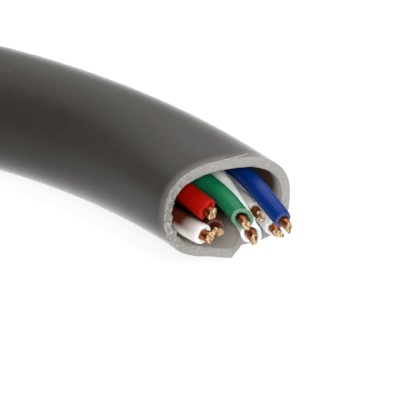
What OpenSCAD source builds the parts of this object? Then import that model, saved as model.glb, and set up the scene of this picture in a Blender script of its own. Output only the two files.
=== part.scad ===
// Offcut of round four-pair data cable, bent in one plane and lying on a surface.
// Eight solid copper wires in coloured insulation lie in four twisted pairs inside a
// plastic jacket. One end is cut square. The cutters have flattened the other end into
// a rounded oblong mouth, where the wires come out cut to different lengths.
// Millimetres, +Z up. The cable lies along the X axis from its square end and bends
// towards -Y.

/* [Jacket] */
// Thickness of the jacket wall
jacket_wall = 0.5; // [0.3:0.05:0.8]
// Play between the bundle of pairs and the bore of the jacket
bundle_play = 0.111; // [0.08:0.001:0.4]
// Length of the straight stretch at the square end
tail_l = 10; // [8:0.5:40]
// Radius of the bend, at the axis of the cable
bend_r = 34; // [26:1:80]
// Angle that the cable turns through
bend_angle = 54; // [40:1:90]

/* [Cut end] */
// Length of jacket that the cutters flattened
crush_l = 10; // [8:0.5:16]
// Width that the mouth gained
mouth_spread = 0.9; // [0.8:0.1:1.4]
// Height that the mouth lost
mouth_drop = 1.1; // [0.7:0.1:1.2]
// Squareness of the mouth, where 2 is a true oval
mouth_square = 2.5; // [2.3:0.1:3]
// Angle that the mouth is rolled through
mouth_roll = 6; // [0:1:8]
// Forward lean of the cut across the mouth, in mm per mm
cut_lean_across = 0.12; // [0:0.01:0.2]
// Backward lean of the cut up the mouth, in mm per mm
cut_lean_up = 0.11; // [0:0.01:0.25]
// Length of the tongue that the blades left under the mouth
tongue_l = 0.45; // [0.1:0.05:0.6]
// Depth of the nick beside the tongue, where the two blades met
nick_depth = 0.5; // [0.1:0.05:0.7]
// Length of copper that stands out of each insulation
bare_l = 0.45; // [0.2:0.05:0.8]
// Slope of the chisel cut across each conductor, in mm per mm
chisel = 0.3; // [0:0.05:0.6]

/* [Wires] */
// Diameter over the insulation of one wire
insulation_d = 0.95; // [0.85:0.01:1.05]
// Diameter of the copper conductor
conductor_d = 0.52; // [0.4:0.01:0.6]
// Radial play between a conductor and its insulation
core_play = 0.01; // [0.005:0.005:0.03]
// Gap between the two wires of a pair and between neighbouring pairs
wire_gap = 0.05; // [0.04:0.005:0.08]
// Lay length of the orange pair
orange_lay = 17; // [15:0.5:24]
// Lay length of the green pair
green_lay = 16; // [15:0.5:24]
// Lay length of the brown pair
brown_lay = 19; // [15:0.5:24]
// Lay length of the blue pair
blue_lay = 15; // [15:0.5:24]

/* [Hidden] */
$fn = 64;

// Sizes that follow from the wires: a pair turns in a circle, and four such circles fill the bore
wire_pitch = insulation_d + wire_gap;
pair_r = insulation_d + wire_gap / 2;
pair_home = (2 * pair_r + wire_gap) / sqrt(2);
bore_r = pair_home + pair_r + bundle_play;
jacket_r = bore_r + jacket_wall;
bend_l = bend_r * bend_angle * PI / 180;
cable_l = tail_l + bend_l;

// Faces round one wire, round the flattened jacket, and the spacing of the rings along them
wire_sides = 7;
mouth_sides = 24;
crush_rings = 8;
rings_per_lay = 10;
fan_step = 1.2;
end_step = 0.7;

// The wires leave their twist fan_l before the cut and then pass three stations,
// given by their distance beyond the middle of the cut
fan_l = 8.5;
mouth_at = -1.5;
cut_at = 0.4;
out_at = 2.3;

// Pairs in the order orange, green, brown, blue: lay length, and side of the bore where each lies
pair_lay = [orange_lay, green_lay, brown_lay, blue_lay];
pair_side = [180, 90, 270, 0];

// Places of the wires at the three stations, across and up, in wire pitches.
// Each pair has its coloured wire first and its white mate second.
stations = [
    [[-1.4, 0.6], [-1.55, 0.6], [-1.6, 0.6]],
    [[-2.15, -0.55], [-2.1, -0.45], [-1.95, -0.2]],
    [[-0.35, 0.9], [-0.45, 0.8], [-0.7, 0.5]],
    [[0.65, 0.55], [0.25, 0.1], [-0.25, -0.4]],
    [[-0.3, -0.8], [-0.85, -0.9], [-1.4, -1]],
    [[1.2, -0.4], [1.2, -0.3], [1, -0.65]],
    [[1.75, 0.85], [1.45, 0.75], [1.25, 0.35]],
    [[2.15, -0.7], [1.95, -1], [1.6, -1.35]],
];

// How far each conductor reaches beyond the middle of the cut
reach = [0.9, 1.35, 2.5, 2.6, 0.4, 1.1, 3.3, 1.75];

// Smooth step, and a curve between two values with given end slopes
function clamp(x, low, high) = min(max(x, low), high);
function ease(x) = let (c = clamp(x, 0, 1)) c * c * (3 - 2 * c);
function hermite(x, v0, s0, v1, s1) =
    (2 * x^3 - 3 * x^2 + 1) * v0 + (x^3 - 2 * x^2 + x) * s0
    + (3 * x^2 - 2 * x^3) * v1 + (x^3 - x^2) * s1;
function unit(v) = v / norm(v);

// Axis of the cable at a distance t from the square end, and the directions across and along it
function turn_at(t) = clamp((t - tail_l) / bend_l, 0, 1) * bend_angle;
function along(a) = [cos(a), -sin(a), 0];
function across(a) = [sin(a), cos(a), 0];
function axis_at(t) =
    let (a = turn_at(t))
    bend_r * [sin(a), cos(a) - 1, 0] + (min(t - tail_l, 0) + max(t - cable_l, 0)) * along(a);
function section_point(t, u, w, lead = 0) =
    let (a = turn_at(t))
    axis_at(t) + u * across(a) + [0, 0, w] + lead * along(a);

// Place of wire k in the section, on the parabola through its three stations
function station_place(k, s) =
    let (
        near = (s - cut_at) * (s - out_at) / ((mouth_at - cut_at) * (mouth_at - out_at)),
        middle = (s - mouth_at) * (s - out_at) / ((cut_at - mouth_at) * (cut_at - out_at)),
        far = (s - mouth_at) * (s - cut_at) / ((out_at - mouth_at) * (out_at - cut_at))
    )
    wire_pitch * (near * stations[k][0] + middle * stations[k][1] + far * stations[k][2]);

// Middle of pair j at its stations, the way from its white wire to its coloured one, and the angle of that
function pair_middle(j, s) = (station_place(2 * j, s) + station_place(2 * j + 1, s)) / 2;
function pair_vector(j, s) = station_place(2 * j, s) - station_place(2 * j + 1, s);
function pair_angle(j, s) = let (v = pair_vector(j, s)) atan2(v.y, v.x);

// Middle, opening and angle inside the jacket: a steady left-hand twist that opens towards the mouth
fan_span = fan_l + mouth_at;
slope_step = 0.05;
function mouth_rate(a, b) = (b - a) / slope_step * fan_span;
function fan_share(s) = clamp((s + fan_l) / fan_span, 0, 1);
function twist_rate(j) = -360 / pair_lay[j];
function twisted_middle(j, s) =
    let (
        home = pair_home * [cos(pair_side[j]), sin(pair_side[j])],
        mouth = pair_middle(j, mouth_at),
        beyond = pair_middle(j, mouth_at + slope_step)
    )
    hermite(fan_share(s), home, [0, 0], mouth, mouth_rate(mouth, beyond));
function twisted_opening(j, s) =
    let (
        mouth = norm(pair_vector(j, mouth_at)),
        beyond = norm(pair_vector(j, mouth_at + slope_step))
    )
    max(wire_pitch, hermite(fan_share(s), wire_pitch, 0, mouth, mouth_rate(mouth, beyond)));
function twisted_angle(j, s) =
    let (
        mouth = pair_angle(j, mouth_at),
        mouth_turn = mouth_rate(mouth, pair_angle(j, mouth_at + slope_step)),
        steady_turn = twist_rate(j) * fan_span,
        start = mouth - (steady_turn + mouth_turn) / 2
    )
    s < -fan_l
        ? start + twist_rate(j) * (s + fan_l)
        : hermite(fan_share(s), start, steady_turn, mouth, mouth_turn);

// Place of wire k at any section, its route in space and its heading there
function side_of(k) = k % 2 == 0 ? 1 : -1;
function place(k, s) =
    let (j = floor(k / 2), a = twisted_angle(j, s))
    s < mouth_at
        ? twisted_middle(j, s) + side_of(k) * twisted_opening(j, s) / 2 * [cos(a), sin(a)]
        : station_place(k, s);
function route(k, s) = let (p = place(k, s)) section_point(cable_l + s, p.x, p.y);
function heading(k, s) = unit(route(k, s + slope_step) - route(k, s - slope_step));

// Sections at which wire k has a ring, from the square end to a tip
function steps(from, to, step) =
    let (n = ceil((to - from) / step))
    [for (i = [0 : n - 1]) from + i * (to - from) / n];
function ring_places(k, tip) =
    concat(
        steps(-cable_l, -fan_l, pair_lay[floor(k / 2)] / rings_per_lay),
        steps(-fan_l, mouth_at, fan_step), steps(mouth_at, tip, end_step), [tip]
    );

// Ring of radius r round wire k. The first ring is cut square to the cable, and the last one
// leans back at the top by the given slope.
function wire_ring(k, s, r, slope) =
    let (
        h = heading(k, s),
        across_h = unit(cross([0, 0, 1], h)),
        up_h = cross(h, across_h),
        square = s == -cable_l
    )
    [for (i = [0 : wire_sides - 1])
        let (
            a = i * 360 / wire_sides,
            p = r * (cos(a) * across_h + sin(a) * up_h),
            lead = square ? -p.x / h.x : -slope * r * sin(a)
        )
        route(k, s) + p + lead * h];

// Band of triangles between two rings of n points, and the bands along a row of rings
function band(from, to, n) =
    [for (j = [0 : n - 1])
        let (next = (j + 1) % n)
        each [[from + j, to + j, to + next], [from + j, to + next, from + next]]];
function bands(rings, n, base = 0) =
    [for (i = [0 : rings - 2]) each band(base + i * n, base + (i + 1) * n, n)];
function turned(faces) = [for (f = faces) [f[2], f[1], f[0]]];

// Hollow sweep from rings of n points: outside rings first, inside rings after them
module hollow_sweep(outside, inside) {
    rings = len(outside);
    n = len(outside[0]);
    base = rings * n;
    polyhedron(
        points = [for (ring = concat(outside, inside)) each ring],
        faces = concat(
            bands(rings, n), turned(bands(rings, n, base)),
            turned(band(0, base, n)), band(base - n, 2 * base - n, n)
        ),
        convexity = 10
    );
}

// Solid sweep from rings of n points
module solid_sweep(rings) {
    n = len(rings[0]);
    last = (len(rings) - 1) * n;
    polyhedron(
        points = [for (ring = rings) each ring],
        faces = concat(
            bands(len(rings), n),
            [for (j = [1 : n - 2]) [0, j, j + 1]],
            [for (j = [1 : n - 2]) [last, last + j + 1, last + j]]
        ),
        convexity = 10
    );
}

// Rings of wire k that end at the section called tip
function wire_rings(k, r, tip, slope = 0) =
    [for (s = ring_places(k, tip)) wire_ring(k, s, r, s == tip ? slope : 0)];

// The cut across the mouth leans forward to one side and back at the top. Underneath it runs out
// to the tip of the tongue, drops into the nick and comes back, at these places across the mouth.
tongue_from = -1.2;
tongue_tip = -0.25;
nick_at = 0.9;
nick_to = 2.6;
under_edge = [[tongue_from, 0], [tongue_tip, tongue_l], [nick_at, -nick_depth], [nick_to, 0]];
function cut_lead(u, w) = cut_lean_across * u - cut_lean_up * w + (w < 0 ? lookup(u, under_edge) : 0);

// Ring of the flattened jacket at a share of the crush, 0 at its round start and 1 at the cut
function squared(c, share) = sign(c) * abs(c)^(2 / (2 + ease(share) * (mouth_square - 2)));
function rolled(x, y, a) = [x * cos(a) + y * sin(a), y * cos(a) - x * sin(a)];
function jacket_ring(share, r) =
    let (
        t = cable_l - crush_l * (1 - share),
        half_w = r + ease(share) * mouth_spread / 2,
        half_h = r - ease(share) * mouth_drop / 2
    )
    [for (i = [0 : mouth_sides - 1])
        let (
            a = i * 360 / mouth_sides,
            flat = [half_w * squared(cos(a), share), half_h * squared(sin(a), share)],
            p = rolled(flat.x, flat.y, ease(share) * mouth_roll)
        )
        section_point(t, p.x, p.y, share^3 * cut_lead(p.x, p.y))];

// The jacket is one piece: its straight stretch and its flattened one taper into the wall of the
// round bend between them, over this length to each side of the seam
seam_inset = 0.1;
seam_l = 0.2;
seam_share = seam_l / crush_l;
crush_shares = concat([-seam_share, seam_share], [for (i = [1 : crush_rings]) i / crush_rings]);
function inset(share) = share < 0 ? seam_inset : 0;
function jacket_rings(r, grow) = [for (share = crush_shares) jacket_ring(share, r + grow * inset(share))];

// The part's own frame: the middle of its box, on the surface that it lies on
end_points = concat(
    jacket_ring(1, jacket_r),
    [for (k = [0 : 7]) each wire_ring(k, reach[k], conductor_d / 2, chisel)],
    [for (k = [0 : 7]) each wire_ring(k, reach[k] - bare_l, insulation_d / 2, 0)]
);
frame_x = (max([for (p = end_points) p.x]) - tail_l) / 2;
frame_y = (min([for (p = end_points) p.y]) + jacket_r) / 2;
module in_frame() translate([-frame_x, -frame_y, jacket_r]) children();

// Straight round stretch, which a clip or a gland grips
module tail_tube() {
    translate([-tail_l, 0, 0]) rotate([0, 90, 0])
        rotate_extrude()
            polygon([
                [bore_r, 0], [jacket_r, 0], [jacket_r, tail_l - seam_l],
                [jacket_r - seam_inset, tail_l + seam_l], [bore_r + seam_inset, tail_l + seam_l],
                [bore_r, tail_l - seam_l]
            ]);
}

// Round part of the bend. The rod that cuts its bore runs on past both ends by a small angle.
round_angle = bend_angle - crush_l / bend_r * 180 / PI;
bore_overrun = 1;
module bent_rod(r, overrun) {
    translate([0, -bend_r, 0]) rotate([0, 0, 90 - round_angle - overrun])
        rotate_extrude(angle = round_angle + 2 * overrun)
            translate([bend_r, 0]) circle(r = r);
}
module bent_tube() {
    difference() {
        bent_rod(jacket_r, 0);
        bent_rod(bore_r, bore_overrun);
    }
}

module jacket() {
    color("#6e6b67")
        in_frame()
            union() {
                tail_tube();
                bent_tube();
                hollow_sweep(jacket_rings(jacket_r, -1), jacket_rings(bore_r, 1));
            }
}

// Insulation of wire k, with a bore for its conductor
module insulation(k) {
    tip = reach[k] - bare_l;
    in_frame() hollow_sweep(
        wire_rings(k, insulation_d / 2, tip),
        wire_rings(k, conductor_d / 2 + core_play, tip)
    );
}

// Solid conductor of wire k, with its chisel cut
module conductor(k) {
    in_frame() solid_sweep(wire_rings(k, conductor_d / 2, reach[k], chisel));
}

module orange_insulation() { color("#c4260c") insulation(0); }
module white_orange_insulation() { color("#e9e4dc") insulation(1); }
module green_insulation() { color("#1d8f63") insulation(2); }
module white_green_insulation() { color("#e3e9e2") insulation(3); }
module brown_insulation() { color("#57281a") insulation(4); }
module white_brown_insulation() { color("#e8e2da") insulation(5); }
module blue_insulation() { color("#0d3f9c") insulation(6); }
module white_blue_insulation() { color("#e4e6ea") insulation(7); }

module orange_conductor() { color("#c98b55") conductor(0); }
module white_orange_conductor() { color("#c98b55") conductor(1); }
module green_conductor() { color("#c98b55") conductor(2); }
module white_green_conductor() { color("#c98b55") conductor(3); }
module brown_conductor() { color("#c98b55") conductor(4); }
module white_brown_conductor() { color("#c98b55") conductor(5); }
module blue_conductor() { color("#c98b55") conductor(6); }
module white_blue_conductor() { color("#c98b55") conductor(7); }

jacket();
orange_insulation();
orange_conductor();
white_orange_insulation();
white_orange_conductor();
green_insulation();
green_conductor();
white_green_insulation();
white_green_conductor();
brown_insulation();
brown_conductor();
white_brown_insulation();
white_brown_conductor();
blue_insulation();
blue_conductor();
white_blue_insulation();
white_blue_conductor();
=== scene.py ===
import math

import bpy
from mathutils import Matrix, Vector, noise


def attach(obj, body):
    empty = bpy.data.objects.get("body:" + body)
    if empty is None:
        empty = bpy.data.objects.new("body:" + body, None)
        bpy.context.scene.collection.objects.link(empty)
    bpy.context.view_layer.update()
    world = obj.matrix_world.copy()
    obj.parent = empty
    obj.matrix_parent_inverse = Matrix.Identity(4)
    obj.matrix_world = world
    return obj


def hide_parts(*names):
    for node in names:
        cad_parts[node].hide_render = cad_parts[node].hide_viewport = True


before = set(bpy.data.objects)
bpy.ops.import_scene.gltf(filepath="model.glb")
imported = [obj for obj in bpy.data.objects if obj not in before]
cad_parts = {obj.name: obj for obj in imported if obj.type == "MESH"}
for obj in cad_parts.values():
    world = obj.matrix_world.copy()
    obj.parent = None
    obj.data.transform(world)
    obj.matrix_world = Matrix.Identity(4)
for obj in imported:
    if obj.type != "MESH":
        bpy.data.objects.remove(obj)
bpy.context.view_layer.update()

# Camera
# A long lens close to the cut end, looking down at it from the front by a third of a right angle.
# The frame cuts the cable off before its square end.
mouth_centre = Vector((17.196, -7.225, 3.0)) / 1000
aim_right = -1.343 / 1000
aim_up = 0.346 / 1000
look_down = math.radians(30)
camera_off = 0.25
sensor_mm = 36
lens_mm = 467.5
look = Vector((0, math.cos(look_down), -math.sin(look_down)))
image_up = Vector((0, math.sin(look_down), math.cos(look_down)))
aim = mouth_centre + Vector((aim_right, 0, 0)) + aim_up * image_up
bpy.ops.object.select_all(action="DESELECT")
bpy.ops.object.camera_add(location=aim - camera_off * look)
camera = bpy.context.object
camera.rotation_mode = "QUATERNION"
camera.rotation_quaternion = look.to_track_quat("-Z", "Y")
camera.data.sensor_width = sensor_mm
camera.data.lens = lens_mm
camera.data.clip_start = 0.01
camera.data.clip_end = 20
bpy.context.scene.camera = camera

# Jacket
# The extruded grey PVC tube round the bundle. It lies straight at its square end, then bends.
# The cutters have squeezed the other end oblong and left a rough, slanted rim with a tongue under it.
jacket_r = 3.0002
jacket_wall = 0.5
tail_l = 10
bend_r = 34
bend_angle = math.radians(54)
bend_l = bend_r * bend_angle
cable_l = tail_l + bend_l
crush_l = 10
mouth_spread = 0.9
mouth_drop = 1.1
mouth_square = 2.5
mouth_roll = math.radians(6)
cut_lean_across = 0.12
cut_lean_up = 0.11
under_edge = ((-1.2, 0), (-0.25, 0.45), (0.9, -0.5), (2.6, 0))
middle_of_part = Vector((10.311, -6.790, -jacket_r))
in_metres = Matrix.Scale(0.001, 4)

# How finely the tube is divided, with more rings towards the cut, and how its edges are rounded.
jacket_sides = 192
jacket_rings = 150
ring_crowding = 1.4
rim_l = 0.06
rim_inset = 0.16
rim_round = 0.05
round_steps = 3
inner_skin = 0.9
cut_face_l = 0.08
cut_face_tilt = 0.2
flat = 0.001
sharp_angle = math.radians(50)
smooth_angle = math.radians(40)

# How the cut's edge is frayed: small tears all round, and larger nibbles inside it at the left.
lean_fade = 3
fray_l = 0.5
tear_size = 0.05
tear_waves = 6
tear_layers = 3
nibble_depth = 0.4
nibble_lead = 0.35
nibble_bias = 0.3
nibble_waves = 11
nibble_draw = 7
# How fast painted shade darkens the bore with the way back from the cut. It grows faster along the top and
# slower along the bottom.
bore_shade_rate = 1.2


def ease(x):
    c = min(max(x, 0), 1)
    return c * c * (3 - 2 * c)


def section_point(t, u, w, lead=0):
    """Point of the lying cable, in mm: t along it from the square end, u across and w up."""
    turn = min(max((t - tail_l) / bend_l, 0), 1) * bend_angle
    along = Vector((math.cos(turn), -math.sin(turn), 0))
    across = Vector((math.sin(turn), math.cos(turn), 0))
    beyond = min(t - tail_l, 0) + max(t - cable_l, 0)
    axis = bend_r * Vector((math.sin(turn), math.cos(turn) - 1, 0)) + beyond * along
    return axis + u * across + Vector((0, 0, w)) + lead * along - middle_of_part


def cut_lead(u, w):
    """How far the slanted cut stands forward of its middle, with the tongue and the nick underneath."""
    under = 0
    for (u0, v0), (u1, v1) in zip(under_edge, under_edge[1:]):
        if w < 0 and u0 <= u < u1:
            under = v0 + (v1 - v0) * (u - u0) / (u1 - u0)
    return cut_lean_across * u - cut_lean_up * w + under


def flattened(r, a, share):
    """Place in the section of a point of the round tube once the cutters have squeezed it."""
    power = 2 / (2 + ease(share) * (mouth_square - 2))
    x = (r + ease(share) * mouth_spread / 2) * math.copysign(abs(math.cos(a)) ** power, math.cos(a))
    y = (r - ease(share) * mouth_drop / 2) * math.copysign(abs(math.sin(a)) ** power, math.sin(a))
    roll = ease(share) * mouth_roll
    return x * math.cos(roll) + y * math.sin(roll), y * math.cos(roll) - x * math.sin(roll)


def pick(piece, kind, test):
    """In edit mode, leaves selected just the vertices, edges or faces whose corners pass the test."""
    bpy.ops.object.mode_set(mode="EDIT")
    bpy.ops.mesh.select_mode(type=kind)
    bpy.ops.mesh.select_all(action="DESELECT")
    bpy.ops.object.mode_set(mode="OBJECT")
    mesh = piece.data
    for item in {"VERT": mesh.vertices, "EDGE": mesh.edges, "FACE": mesh.polygons}[kind]:
        corners = [item.co] if kind == "VERT" else [mesh.vertices[i].co for i in item.vertices]
        item.select = test(corners)
    bpy.ops.object.mode_set(mode="EDIT")


def round_edges(piece, width, segments):
    """Rounds the sharp edges of a piece."""
    bpy.ops.object.mode_set(mode="EDIT")
    bpy.ops.mesh.select_mode(type="EDGE")
    bpy.ops.mesh.select_all(action="DESELECT")
    bpy.ops.mesh.edges_select_sharp(sharpness=sharp_angle)
    bpy.ops.mesh.bevel(offset=width, segments=segments)
    bpy.ops.object.mode_set(mode="OBJECT")


def apply(piece, kind, **settings):
    """Adds a modifier with these settings and applies it."""
    bpy.context.view_layer.objects.active = piece
    modifier = piece.modifiers.new(kind, kind)
    for key, value in settings.items():
        setattr(modifier, key, value)
    bpy.ops.object.modifier_apply(modifier=modifier.name)


bpy.ops.object.select_all(action="DESELECT")
bpy.ops.mesh.primitive_cylinder_add(
    vertices=jacket_sides, radius=jacket_r, depth=cable_l, end_fill_type="NOTHING",
    location=(0, 0, cable_l / 2))
jacket = bpy.context.object
jacket.name = "grey_jacket"
bpy.ops.object.transform_apply(location=True, rotation=True, scale=True)
pick(jacket, "EDGE", lambda c: abs(c[0].z - c[1].z) > cable_l / 2)
bpy.ops.mesh.subdivide(number_cuts=jacket_rings)
bpy.ops.object.mode_set(mode="OBJECT")
apply(jacket, "SOLIDIFY", thickness=jacket_wall, offset=-1, use_rim=True)
pick(jacket, "FACE", lambda c: max(p.z for p in c) - min(p.z for p in c) < flat)
bpy.ops.mesh.inset(thickness=rim_inset)
round_edges(jacket, rim_round, round_steps)
for face in jacket.data.polygons:
    at_cut = face.center.z > cable_l - cut_face_l and face.normal.z > cut_face_tilt
    at_square_end = face.center.z < cut_face_l and face.normal.z < -cut_face_tilt
    inside = math.hypot(face.center.x, face.center.y) < jacket_r - inner_skin * jacket_wall
    face.material_index = 1 if at_cut or at_square_end else 2 if inside else 0

# The straight tube is bent and squeezed, its rings crowd towards the cut, and the cut's edge is frayed.
# depth is the way back from the cut. Inside the bore it is counted faster along the top, where the painted
# shade starts soonest.
for name in ("depth", "chewed"):
    jacket.data.attributes.new(name, "FLOAT", "POINT")
depth, chewed = jacket.data.attributes["depth"], jacket.data.attributes["chewed"]
for v in jacket.data.vertices:
    r, a = math.hypot(v.co.x, v.co.y), math.atan2(v.co.y, v.co.x)
    back = cable_l - v.co.z
    if back > rim_l:
        back = rim_l + (cable_l - rim_l) * ((back - rim_l) / (cable_l - rim_l)) ** ring_crowding
    share = max(0, 1 - back / crush_l)
    rim = max(0, 1 - back / fray_l)
    inner = min(max((jacket_r - r) / jacket_wall, 0), 1)
    left = max(0, -math.cos(a)) ** 2
    tear = noise.noise(Vector((tear_waves * math.cos(a), tear_waves * math.sin(a), tear_layers * r)))
    nibble = noise.noise(Vector((nibble_waves * math.cos(a), nibble_waves * math.sin(a), nibble_draw)))
    r += rim * inner * left * nibble_depth * nibble
    u, w = flattened(r, a, share)
    frayed = tear_size * tear + inner * left * nibble_lead * (nibble - nibble_bias)
    lead = share**lean_fade * cut_lead(u, w) + rim * frayed
    depth.data[v.index].value = back * (bore_shade_rate + math.sin(a)) if inner > 0.5 else back
    chewed.data[v.index].value = left if share > 0 else 0
    v.co = section_point(cable_l - back, u, w, lead)
bpy.ops.object.mode_set(mode="EDIT")
bpy.ops.mesh.select_all(action="SELECT")
bpy.ops.mesh.normals_make_consistent(inside=False)
bpy.ops.object.mode_set(mode="OBJECT")
jacket.data.transform(in_metres)
bpy.ops.object.shade_smooth_by_angle(angle=smooth_angle)


def srgb(code):
    """Linear colour of an sRGB hex code."""
    parts = [int(code[i:i + 2], 16) / 255 for i in (1, 3, 5)]
    return tuple(c / 12.92 if c <= 0.04045 else ((c + 0.055) / 1.055) ** 2.4 for c in parts) + (1,)


def add(tree, kind, links=(), **settings):
    """Adds a node: settings name its sockets or its own values, links name a socket and what feeds it."""
    node = tree.nodes.new(kind)
    for key, value in settings.items():
        if key in node.inputs:
            node.inputs[key].default_value = value
        else:
            setattr(node, key, value)
    for socket, source in links:
        tree.links.new(source, node.inputs[socket])
    return node


def new_material(name):
    material = bpy.data.materials.new(name)
    material.use_nodes = True
    material.node_tree.nodes.clear()
    return material, material.node_tree


# PVC drawn through a die: an even satin grey, cloudy and unevenly rubbed every 1.5 mm, with pale dust
# of 0.1 mm. It pales in patches where the blades pinched it, in the last 0.7 mm.
pvc, tree = new_material("satin_grey_pvc")
place = add(tree, "ShaderNodeTexCoord").outputs["Object"]
cloud = add(tree, "ShaderNodeTexNoise", [("Vector", place)], Scale=1 / 0.0015, Detail=6.0)
dust = add(tree, "ShaderNodeTexNoise", [("Vector", place)], Scale=1 / 0.0001, Detail=2.0)
tone = add(tree, "ShaderNodeValToRGB", [("Fac", cloud.outputs["Fac"])])
tone.color_ramp.elements[0].color = srgb("#26231f")
tone.color_ramp.elements[1].color = srgb("#322e29")
speck = add(tree, "ShaderNodeMapRange", [("Value", dust.outputs["Fac"])])
speck.inputs["From Min"].default_value = 0.7
speck.inputs["From Max"].default_value = 0.78
speck.inputs["To Max"].default_value = 0.4
dusty = add(tree, "ShaderNodeMix", [
    ("Factor", speck.outputs["Result"]), ("A", tone.outputs["Color"])], data_type="RGBA")
dusty.inputs["B"].default_value = srgb("#85827d")
from_cut = add(tree, "ShaderNodeAttribute", attribute_name="depth")
pinch = add(tree, "ShaderNodeMapRange", [("Value", from_cut.outputs["Fac"])])
pinch.inputs["From Max"].default_value = 0.7
pinch.inputs["To Min"].default_value = 1.1
pinch.inputs["To Max"].default_value = 0
patchy = add(tree, "ShaderNodeMath", operation="MULTIPLY")
tree.links.new(pinch.outputs["Result"], patchy.inputs[0])
tree.links.new(cloud.outputs["Fac"], patchy.inputs[1])
paled = add(tree, "ShaderNodeMix", [
    ("Factor", patchy.outputs["Value"]), ("A", dusty.outputs["Result"])], data_type="RGBA")
paled.inputs["B"].default_value = srgb("#85827d")
skin = add(tree, "ShaderNodeBump", [("Height", dust.outputs["Fac"])], Strength=0.12, Distance=0.00004)
handled = add(tree, "ShaderNodeMapRange", [("Value", cloud.outputs["Fac"])])
handled.inputs["From Min"].default_value = 0.3
handled.inputs["From Max"].default_value = 0.7
handled.inputs["To Min"].default_value = 0.36
handled.inputs["To Max"].default_value = 0.5
shader = add(tree, "ShaderNodeBsdfPrincipled", [
    ("Base Color", paled.outputs["Result"]), ("Roughness", handled.outputs["Result"]),
    ("Normal", skin.outputs["Normal"])])
shader.inputs["Specular IOR Level"].default_value = 0.14
shader.inputs["Sheen Weight"].default_value = 1.0
shader.inputs["Sheen Roughness"].default_value = 0.37
add(tree, "ShaderNodeOutputMaterial", [("Surface", shader.outputs["BSDF"])])

# The same PVC where the blades went through it: paler and dull, in grains of about 0.15 mm. The side
# that tore, instead of being cut, is darker, with pale flecks.
cut_pvc, tree = new_material("torn_grey_pvc")
place = add(tree, "ShaderNodeTexCoord").outputs["Object"]
grain = add(tree, "ShaderNodeTexNoise", [("Vector", place)], Scale=1 / 0.00015, Detail=5.0)
tone = add(tree, "ShaderNodeValToRGB", [("Fac", grain.outputs["Fac"])])
tone.color_ramp.elements[0].color = srgb("#858380")
tone.color_ramp.elements[1].color = srgb("#b0aea9")
fleck = add(tree, "ShaderNodeMapRange", [("Value", grain.outputs["Fac"])])
fleck.inputs["From Min"].default_value = 0.44
fleck.inputs["From Max"].default_value = 0.7
tore = add(tree, "ShaderNodeAttribute", attribute_name="chewed")
flecked = add(tree, "ShaderNodeMath", operation="MULTIPLY")
tree.links.new(fleck.outputs["Result"], flecked.inputs[0])
tree.links.new(tore.outputs["Fac"], flecked.inputs[1])
rough = add(tree, "ShaderNodeMix", [
    ("Factor", tore.outputs["Fac"]), ("A", tone.outputs["Color"])], data_type="RGBA")
rough.inputs["B"].default_value = srgb("#7a7772")
pale = add(tree, "ShaderNodeMix", [
    ("Factor", flecked.outputs["Value"]), ("A", rough.outputs["Result"])], data_type="RGBA")
pale.inputs["B"].default_value = srgb("#b2b0ab")
torn = add(tree, "ShaderNodeBump", [("Height", grain.outputs["Fac"])], Strength=0.5, Distance=0.00008)
shader = add(tree, "ShaderNodeBsdfPrincipled", [
    ("Base Color", pale.outputs["Result"]), ("Normal", torn.outputs["Normal"])], Roughness=0.6)
add(tree, "ShaderNodeOutputMaterial", [("Surface", shader.outputs["BSDF"])])

# The same PVC inside the tube: pale grey at the rim, and turned brown deeper in by painted shade, standing
# in for the shade that falls into the bore. The painted shade comes soonest along the top and stays away
# longest along the bottom, where light comes in. The wires have left a dull print in it about every 1 mm.
bore_pvc, tree = new_material("inside_grey_pvc")
place = add(tree, "ShaderNodeTexCoord").outputs["Object"]
print_of_wires = add(tree, "ShaderNodeTexNoise", [("Vector", place)], Scale=1 / 0.001, Detail=5.0)
tone = add(tree, "ShaderNodeValToRGB", [("Fac", print_of_wires.outputs["Fac"])])
tone.color_ramp.elements[0].color = srgb("#b8b2a9")
tone.color_ramp.elements[1].color = srgb("#cec8bf")
how_deep = add(tree, "ShaderNodeAttribute", attribute_name="depth")
painted_shade_depth = add(tree, "ShaderNodeMapRange", [("Value", how_deep.outputs["Fac"])])
painted_shade_depth.inputs["From Min"].default_value = 0.2
painted_shade_depth.inputs["From Max"].default_value = 0.8
# Painted shade: deeper in, the bore is mixed towards this dark brown.
painted_bore_shade = add(tree, "ShaderNodeMix", [
    ("Factor", painted_shade_depth.outputs["Result"]), ("A", tone.outputs["Color"])], data_type="RGBA")
painted_bore_shade.inputs["B"].default_value = srgb("#4b321b")
shader = add(tree, "ShaderNodeBsdfPrincipled", [("Base Color", painted_bore_shade.outputs["Result"])], Roughness=0.55)
add(tree, "ShaderNodeOutputMaterial", [("Surface", shader.outputs["BSDF"])])

for material in (pvc, cut_pvc, bore_pvc):
    jacket.data.materials.append(material)

# A sliver of the jacket that the blades pulled up from the top of the rim, and that still hangs on it.
sliver_from = 93
sliver_to = 78
sliver_lift = 0.2
sliver_curl = 1.3
sliver_root = 0.03
sliver_back = 0.04
sliver_r = 0.06
sliver_taper = 0.6
sliver_steps = 12
bpy.ops.object.select_all(action="DESELECT")
bpy.ops.curve.primitive_nurbs_path_add()
sliver = bpy.context.object
sliver.data.splines.clear()
spline = sliver.data.splines.new("POLY")
spline.points.add(sliver_steps)
for i, point in enumerate(spline.points):
    way = i / sliver_steps
    a = math.radians(sliver_from + (sliver_to - sliver_from) * way)
    u, w = flattened(jacket_r - sliver_root + sliver_lift * way**sliver_curl, a, 1)
    point.co = (*section_point(cable_l - sliver_back, u, w, cut_lead(u, w)), 1)
    point.radius = 1 - sliver_taper * way
sliver.data.bevel_depth = sliver_r
sliver.data.use_fill_caps = True
bpy.ops.object.convert(target="MESH")
sliver.data.materials.clear()
sliver.data.materials.append(cut_pvc)
sliver.data.transform(in_metres)
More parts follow.
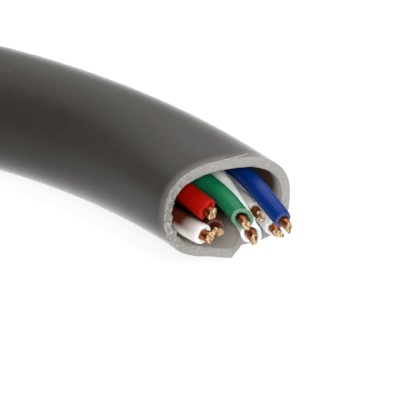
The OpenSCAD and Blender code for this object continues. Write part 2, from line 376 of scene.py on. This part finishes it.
bpy.ops.object.shade_smooth_by_angle(angle=smooth_angle)
jacket.select_set(True)
bpy.context.view_layer.objects.active = jacket
bpy.ops.object.join()
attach(jacket, "root")
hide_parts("jacket")

# Twisted pairs
# Eight solid copper wires in polyethylene insulation, twisted two by two to the left.
# They lose their twist before the cut and fan out of the mouth, each cut to its own length.
insulation_d = 0.95
conductor_d = 0.52
core_play = 0.01
wire_gap = 0.05
wire_pitch = insulation_d + wire_gap
pair_home = (2 * insulation_d + 2 * wire_gap) / math.sqrt(2)
bare_l = 0.45
chisel = 0.3
fan_l = 8.5
mouth_at, cut_at, out_at = -1.5, 0.4, 2.3
slope_step = 0.05
trim_l = 0.3
route_step = 0.15
cover_sides = 32
cover_round = 0.05
core_sides = 20
tip_l = 0.1
tip_rings = (0.05, 0.08)
tip_rough = 0.12
tip_waves = 5


def curve_between(x, v0, s0, v1, s1):
    return ((2 * x**3 - 3 * x**2 + 1) * v0 + (x**3 - 2 * x**2 + x) * s0
            + (3 * x**2 - 2 * x**3) * v1 + (x**3 - x**2) * s1)


def station_place(stations, s):
    """Place in the section on the parabola through a wire's three stations."""
    near = (s - cut_at) * (s - out_at) / ((mouth_at - cut_at) * (mouth_at - out_at))
    middle = (s - mouth_at) * (s - out_at) / ((cut_at - mouth_at) * (cut_at - out_at))
    far = (s - mouth_at) * (s - cut_at) / ((out_at - mouth_at) * (out_at - cut_at))
    first, second, third = [Vector(station) for station in stations]
    return wire_pitch * (near * first + middle * second + far * third)


def pair_places(s, side, lay, plain, white):
    """Places of the plain coloured wire and its white mate in the section at s beyond the cut."""
    if s >= mouth_at:
        return {"plain": station_place(plain, s), "white": station_place(white, s)}
    span = fan_l + mouth_at
    at_mouth = [
        (station_place(plain, m), station_place(white, m)) for m in (mouth_at, mouth_at + slope_step)]
    middles = [(p + q) / 2 for p, q in at_mouth]
    ways = [p - q for p, q in at_mouth]
    angles = [math.atan2(d.y, d.x) for d in ways]
    rate = span / slope_step
    x = min(max((s + fan_l) / span, 0), 1)
    home = pair_home * Vector((math.cos(math.radians(side)), math.sin(math.radians(side))))
    middle = curve_between(x, home, Vector((0, 0)), middles[0], (middles[1] - middles[0]) * rate)
    opening = max(wire_pitch, curve_between(
        x, wire_pitch, 0, ways[0].length, (ways[1].length - ways[0].length) * rate))
    steady = -2 * math.pi / lay * span
    mouth_turn = (angles[1] - angles[0]) * rate
    start = angles[0] - (steady + mouth_turn) / 2
    if s < -fan_l:
        angle = start + steady * (s + fan_l) / span
    else:
        angle = curve_between(x, start, steady, angles[0], mouth_turn)
    half = opening / 2 * Vector((math.cos(angle), math.sin(angle)))
    return {"plain": middle + half, "white": middle - half}


def route_to(pair, which, tip):
    """Points of one wire of a pair from just before the square end to its tip."""
    length = cable_l + trim_l + tip
    count = math.ceil(length / route_step)
    points = []
    for i in range(count + 1):
        s = -cable_l - trim_l + length * i / count
        p = pair_places(s, **pair)[which]
        points.append(section_point(cable_l + s, p.x, p.y))
    return points


def strand(name, route, radius, sides, solid, shape):
    """A strand along a route, cut square at the square end and, if solid, closed and roughly sheared at
    its tip. shape gives each point of its skin from the way left to the tip, the directions across, up
    and along the strand, and the angle round it."""
    bpy.ops.object.select_all(action="DESELECT")
    bpy.ops.curve.primitive_nurbs_path_add()
    piece = bpy.context.object
    piece.name = name
    piece.data.splines.clear()
    spline = piece.data.splines.new("POLY")
    spline.points.add(len(route) - 1)
    for point, place in zip(spline.points, route):
        point.co = (*place, 1)
    piece.data.bevel_depth = radius
    piece.data.bevel_resolution = (sides - 4) // 2
    bpy.ops.object.convert(target="MESH")
    mesh = piece.data
    mesh.attributes.new("tracer", "FLOAT_VECTOR", "POINT")
    mesh.attributes.new("to_tip", "FLOAT", "POINT")
    tracer, to_tip = mesh.attributes["tracer"], mesh.attributes["to_tip"]
    ways = [0]
    for a, b in zip(reversed(route[1:]), reversed(route[:-1])):
        ways.append(ways[-1] + (a - b).length)
    ways.reverse()
    for i, v in enumerate(mesh.vertices):
        ring = i // sides
        along = (route[min(ring + 1, len(route) - 1)] - route[max(ring - 1, 0)]).normalized()
        across = Vector((0, 0, 1)).cross(along).normalized()
        up = along.cross(across)
        off = v.co - route[ring]
        angle = math.atan2(off.dot(up), off.dot(across))
        tracer.data[i].vector = (math.cos(angle), math.sin(angle), 0)
        to_tip.data[i].value = ways[ring]
        v.co = route[ring] + shape(ways[ring], across, up, along, angle)
    if solid:
        tip_way = (route[-1] - route[-2]).normalized()
        pick(piece, "VERT", lambda c: (c[0] - route[-1]).dot(tip_way) > -tip_l)
        bpy.ops.mesh.edge_face_add()
        for width in tip_rings:
            bpy.ops.mesh.inset(thickness=width)
        bpy.ops.object.mode_set(mode="OBJECT")
        for v in mesh.vertices:
            if (v.co - route[-1]).dot(tip_way) > -tip_l:
                v.co += tip_rough * noise.noise(tip_waves * v.co) * tip_way
    bpy.ops.object.mode_set(mode="EDIT")
    bpy.ops.mesh.select_all(action="SELECT")
    bpy.ops.mesh.bisect(
        plane_co=section_point(0, 0, 0), plane_no=(1, 0, 0), clear_inner=True, use_fill=solid,
        threshold=0.00001)
    bpy.ops.mesh.select_all(action="SELECT")
    bpy.ops.mesh.normals_make_consistent(inside=False)
    bpy.ops.object.mode_set(mode="OBJECT")
    return piece


# Polyethylene drawn over the copper: clean colour with a soft gloss, clouded a little every 2 mm and
# scuffed every 0.3 mm. It pales where the blades strained it, in the last 0.15 mm. White lets some
# light in, and carries a line of its mate's colour on one side as print. Where that line is drawn wide and
# dark and fades out towards the tip, it is also painted shade and painted reflection of the coloured wire
# over it.
def polyethylene(
        name, light, dark, line=None, line_at=0, line_edge=(0.9, 0.96), line_fade_l=0, paled=0.06):
    material, tree = new_material(name)
    place = add(tree, "ShaderNodeTexCoord").outputs["Object"]
    cloud = add(tree, "ShaderNodeTexNoise", [("Vector", place)], Scale=1 / 0.002, Detail=4.0)
    scuff = add(tree, "ShaderNodeTexNoise", [("Vector", place)], Scale=1 / 0.0003, Detail=3.0)
    tone = add(tree, "ShaderNodeValToRGB", [("Fac", cloud.outputs["Fac"])])
    tone.color_ramp.elements[0].color = srgb(dark)
    tone.color_ramp.elements[1].color = srgb(light)
    colour = tone.outputs["Color"]
    way = add(tree, "ShaderNodeAttribute", attribute_name="to_tip")
    if line:
        side = add(tree, "ShaderNodeAttribute", attribute_name="tracer")
        near = add(tree, "ShaderNodeVectorMath", operation="DOT_PRODUCT")
        tree.links.new(side.outputs["Vector"], near.inputs[0])
        at = math.radians(line_at)
        near.inputs[1].default_value = (math.cos(at), math.sin(at), 0)
        edge = add(tree, "ShaderNodeMapRange", [("Value", near.outputs["Value"])])
        edge.inputs["From Min"].default_value = line_edge[0]
        edge.inputs["From Max"].default_value = line_edge[1]
        printed = edge.outputs["Result"]
        if line_fade_l:
            faded_line = add(tree, "ShaderNodeMapRange", [("Value", way.outputs["Fac"]), ("To Max", printed)])
            faded_line.inputs["From Max"].default_value = line_fade_l
            printed = faded_line.outputs["Result"]
        lined = add(tree, "ShaderNodeMix", [("Factor", printed), ("A", colour)], data_type="RGBA")
        lined.inputs["B"].default_value = srgb(line)
        colour = lined.outputs["Result"]
    at_end = add(tree, "ShaderNodeMapRange", [("Value", way.outputs["Fac"])])
    at_end.inputs["From Max"].default_value = 0.15
    at_end.inputs["To Min"].default_value = paled
    at_end.inputs["To Max"].default_value = 0
    strained = add(tree, "ShaderNodeMix", [
        ("Factor", at_end.outputs["Result"]), ("A", colour)], data_type="RGBA")
    strained.inputs["B"].default_value = srgb("#f4f2ee")
    colour = strained.outputs["Result"]
    skin = add(tree, "ShaderNodeBump", [("Height", scuff.outputs["Fac"])], Strength=0.15, Distance=0.00005)
    shader = add(tree, "ShaderNodeBsdfPrincipled", [
        ("Base Color", colour), ("Normal", skin.outputs["Normal"])], Roughness=0.3)
    shader.inputs["Specular IOR Level"].default_value = 0.14
    if line:
        shader.inputs["Subsurface Weight"].default_value = 0.6
        shader.inputs["Subsurface Radius"].default_value = (1, 1, 1)
        shader.inputs["Subsurface Scale"].default_value = 0.0006
    add(tree, "ShaderNodeOutputMaterial", [("Surface", shader.outputs["BSDF"])])
    return material


# Copper drawn through a die: dark warm metal, unevenly scored. It is browned a little by handling and
# darkened further as painted shade and painted dark reflection on the sides of the bared ends. Its marks
# are drawn at
# 0.2 mm, coarser than they are, so that they show.
copper, tree = new_material("drawn_copper")
place = add(tree, "ShaderNodeTexCoord").outputs["Object"]
drag = add(tree, "ShaderNodeTexNoise", [("Vector", place)], Scale=1 / 0.0002, Detail=4.0)
tone = add(tree, "ShaderNodeValToRGB", [("Fac", drag.outputs["Fac"])])
tone.color_ramp.elements[0].color = srgb("#7d3a1c")
tone.color_ramp.elements[1].color = srgb("#b86a3c")
scored = add(tree, "ShaderNodeBump", [("Height", drag.outputs["Fac"])], Strength=0.3, Distance=0.00003)
shader = add(
    tree, "ShaderNodeBsdfPrincipled",
    [("Base Color", tone.outputs["Color"]), ("Normal", scored.outputs["Normal"])],
    Metallic=1.0, Roughness=0.35)
add(tree, "ShaderNodeOutputMaterial", [("Surface", shader.outputs["BSDF"])])

# Copper freshly sheared by the blades: pale and bright, smeared upwards in lines about 0.1 mm apart.
sheared, tree = new_material("sheared_copper")
place = add(tree, "ShaderNodeTexCoord").outputs["Object"]
drawn_out = add(
    tree, "ShaderNodeMapping", [("Vector", place)], Scale=(1 / 0.0001, 1 / 0.0001, 1 / 0.0006))
smear = add(tree, "ShaderNodeTexNoise", [("Vector", drawn_out.outputs["Vector"])], Scale=1.0, Detail=3.0)
tone = add(tree, "ShaderNodeValToRGB", [("Fac", smear.outputs["Fac"])])
tone.color_ramp.elements[0].position = 0.38
tone.color_ramp.elements[0].color = srgb("#7a4a2a")
tone.color_ramp.elements[1].position = 0.58
tone.color_ramp.elements[1].color = srgb("#ebcda2")
lines = add(tree, "ShaderNodeBump", [("Height", smear.outputs["Fac"])], Strength=0.6, Distance=0.00006)
shader = add(
    tree, "ShaderNodeBsdfPrincipled",
    [("Base Color", tone.outputs["Color"]), ("Normal", lines.outputs["Normal"])],
    Metallic=0.8, Roughness=0.5)
add(tree, "ShaderNodeOutputMaterial", [("Surface", shader.outputs["BSDF"])])

# How the blades bruise the end of a wire: they squeeze it, tear the lip of its insulation and shear its
# core.
narrowing = 0.9
widening = 0.7
lip_l = 0.3
lip_tears = ((1.1, 1), (3.3, 0.3))
lip_draw = 10
slant_side = math.radians(135)
core_spread = 0.35
core_squeezed_l = 0.5
core_taper = 1.5
end_facing = 0.08
end_l = 0.3


def make_wire(
        name, pair, which, reach, finish, nip=0, spread=0.06, squeezed_l=1.2, flare=-0.08, ragged=0.02,
        slant=0):
    """Insulation and conductor of one wire, in place of their CAD nodes. The blades came at the angle nip.
    They spread the insulation by that share over its squeezed length, flared its end and left it ragged.
    slant is how far they cut it back on the side that faces up and to the left."""
    nip = math.radians(nip)
    own_tear = lip_draw * reach

    def squeezed(r, share, across, up, angle):
        narrow = math.cos(nip) * across + math.sin(nip) * up
        wide = math.cos(nip) * up - math.sin(nip) * across
        x, y = math.cos(angle - nip), math.sin(angle - nip)
        return r * ((1 - narrowing * share) * x * narrow + (1 + widening * share) * y * wide)

    def cover_shape(way, across, up, along, angle):
        lip = max(0, 1 - way / lip_l)
        tear = 0
        for waves, height in lip_tears:
            around = Vector((waves * math.cos(angle), waves * math.sin(angle), own_tear))
            tear += height * noise.noise(around)
        r = insulation_d / 2 * (1 + flare * lip * lip * (1 + tear))
        share = spread * max(0, 1 - way / squeezed_l) ** 0.5
        lead = 2 * ragged * tear - slant * math.cos(angle - slant_side)
        return squeezed(r, share, across, up, angle) + lead * lip * along

    def core_shape(way, across, up, along, angle):
        share = core_spread * max(0, 1 - way / core_squeezed_l) ** core_taper
        lead = -chisel * conductor_d / 2 * math.sin(angle) if way == 0 else 0
        return squeezed(conductor_d / 2, share, across, up, angle) + lead * along

    cover = strand(
        name + "_cover", route_to(pair, which, reach - bare_l), insulation_d / 2, cover_sides, False,
        cover_shape)
    wall = (insulation_d - conductor_d) / 2 - core_play
    apply(cover, "SOLIDIFY", thickness=wall, offset=-1, use_rim=True)
    round_edges(cover, cover_round, round_steps)
    route = route_to(pair, which, reach)
    core = strand(name + "_core", route, conductor_d / 2, core_sides, True, core_shape)
    last_step = route[-1] - route[-2]
    cut_ends = [
        abs(face.normal.dot(last_step)) > end_facing and (face.center - route[-1]).length < end_l
        for face in core.data.polygons]
    for piece, materials, slot, node in (
            (cover, [finish], name + "_polyethylene", name + "_insulation"),
            (core, [copper, sheared], "copper", name + "_conductor")):
        piece.data.materials.clear()
        for material in materials:
            piece.data.materials.append(material)
        for i, face in enumerate(piece.data.polygons):
            face.material_index = 1 if piece is core and cut_ends[i] else 0
        piece.data.transform(in_metres)
        bpy.ops.object.select_all(action="DESELECT")
        piece.select_set(True)
        bpy.context.view_layer.objects.active = piece
        bpy.ops.object.shade_smooth_by_angle(angle=smooth_angle)
        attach(piece, "root")
        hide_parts(node)


# The pair at the left, whose coloured wire the cutters bruised most.
orange_pair = {
    "side": 180, "lay": 17,
    "plain": ((-1.4, 0.6), (-1.55, 0.6), (-1.6, 0.6)),
    "white": ((-2.15, -0.55), (-2.1, -0.45), (-1.95, -0.2))}
make_wire(
    "orange", orange_pair, "plain", reach=0.9,
    finish=polyethylene("orange_polyethylene", "#b91204", "#9f0a02", paled=0),
    nip=135, spread=0.22, squeezed_l=3.5, flare=0.03, ragged=0.1, slant=-0.12)
# The wide dark brown line along the top of this white wire, fading out over the last 1.4 mm to the tip, is
# partly the print of its mate's colour and partly painted shade and painted reflection of the red wire over
# it.
make_wire(
    "white_orange", orange_pair, "white", reach=1.35,
    finish=polyethylene(
        "white_polyethylene_of_orange_painted_shade", "#f5f2ee", "#eee9e3",
        line="#5e2210", line_at=105, line_edge=(0.1, 0.75), line_fade_l=1.4),
    nip=135, spread=0.14, squeezed_l=2.5, ragged=0.05)

# The pair that leaves the mouth at the top and hangs down across it.
green_pair = {
    "side": 90, "lay": 16,
    "plain": ((-0.35, 0.9), (-0.45, 0.8), (-0.7, 0.5)),
    "white": ((0.65, 0.55), (0.25, 0.1), (-0.25, -0.4))}
make_wire(
    "green", green_pair, "plain", reach=2.5,
    finish=polyethylene("green_polyethylene", "#157c50", "#0b6541", paled=0.13),
    nip=40, spread=0.06, flare=0.14, ragged=0.05, slant=0.2)
make_wire(
    "white_green", green_pair, "white", reach=2.6,
    finish=polyethylene(
        "white_polyethylene_of_green", "#f2f5f0", "#e8f0e8",
        line="#bfe6cf", line_at=15, line_edge=(0.85, 0.97)),
    nip=0, spread=0.03, flare=0.1, ragged=0.05, slant=0.2)

# The pair at the bottom, with the shortest end.
brown_pair = {
    "side": 270, "lay": 19,
    "plain": ((-0.3, -0.8), (-0.85, -0.9), (-1.4, -1)),
    "white": ((1.2, -0.4), (1.2, -0.3), (1, -0.65))}
make_wire(
    "brown", brown_pair, "plain", reach=0.4,
    finish=polyethylene("brown_polyethylene", "#6a2a1a", "#521d12"),
    nip=70, ragged=0.05)
make_wire(
    "white_brown", brown_pair, "white", reach=1.1,
    finish=polyethylene(
        "white_polyethylene_of_brown", "#f5f1ec", "#ece6dd",
        line="#7a3f2a", line_at=165, line_edge=(0.88, 0.95)),
    nip=20, ragged=0.05)

# The pair at the right, with the longest end.
blue_pair = {
    "side": 0, "lay": 15,
    "plain": ((1.75, 0.85), (1.45, 0.75), (1.25, 0.35)),
    "white": ((2.15, -0.7), (1.95, -1), (1.6, -1.35))}
make_wire(
    "blue", blue_pair, "plain", reach=3.3,
    finish=polyethylene("blue_polyethylene", "#003080", "#00256a"),
    nip=10, ragged=0.03)
make_wire(
    "white_blue", blue_pair, "white", reach=1.75,
    finish=polyethylene(
        "white_polyethylene_of_blue", "#f3f4f6", "#e9ebee", line="#3f6fc0", line_at=-70),
    nip=60, ragged=0.04)

# Table and light
# A white sheet under the cable, and three soft lamps in a dim room: one at the right, a large one above and
# behind, and one in front. The sheet glows, so that it looks white and lights the cable from below as a
# lit sheet does, and it keeps a faint shadow of the cable.
sheet_size = 6
sheet_glow = 0.86
room_light = (0.035, 0.024, 0.016, 1)
bpy.ops.object.select_all(action="DESELECT")
bpy.ops.mesh.primitive_plane_add(size=sheet_size, location=(0, 0, 0))
sheet = bpy.context.object
sheet.name = "white_sheet"
paper, tree = new_material("white_paper")
plain = add(tree, "ShaderNodeBsdfDiffuse", Color=srgb("#8c8c8c"))
glow = add(tree, "ShaderNodeEmission", Color=(1, 1, 1, 1), Strength=sheet_glow)
both = add(tree, "ShaderNodeAddShader")
tree.links.new(plain.outputs["BSDF"], both.inputs[0])
tree.links.new(glow.outputs["Emission"], both.inputs[1])
add(tree, "ShaderNodeOutputMaterial", [("Surface", both.outputs["Shader"])])
sheet.data.materials.append(paper)

for name, place, size, watts in (
        ("right_lamp", (0.3, -0.28, 0.27), 0.3, 1.0),
        ("top_lamp", (0.0, 0.24, 0.46), 0.8, 3.7),
        ("front_lamp", (0.02, -0.41, 0.27), 0.3, 1.5)):
    away = Vector(place) - mouth_centre
    bpy.ops.object.light_add(type="AREA", location=place)
    lamp = bpy.context.object
    lamp.name = name
    lamp.rotation_mode = "QUATERNION"
    lamp.rotation_quaternion = away.to_track_quat("Z", "Y")
    lamp.data.shape = "DISK"
    lamp.data.size = size
    lamp.data.energy = watts
world = bpy.data.worlds.new("dim_room")
world.use_nodes = True
world.node_tree.nodes["Background"].inputs["Color"].default_value = room_light
bpy.context.scene.world = world
bpy.context.scene.view_settings.view_transform = "Standard"
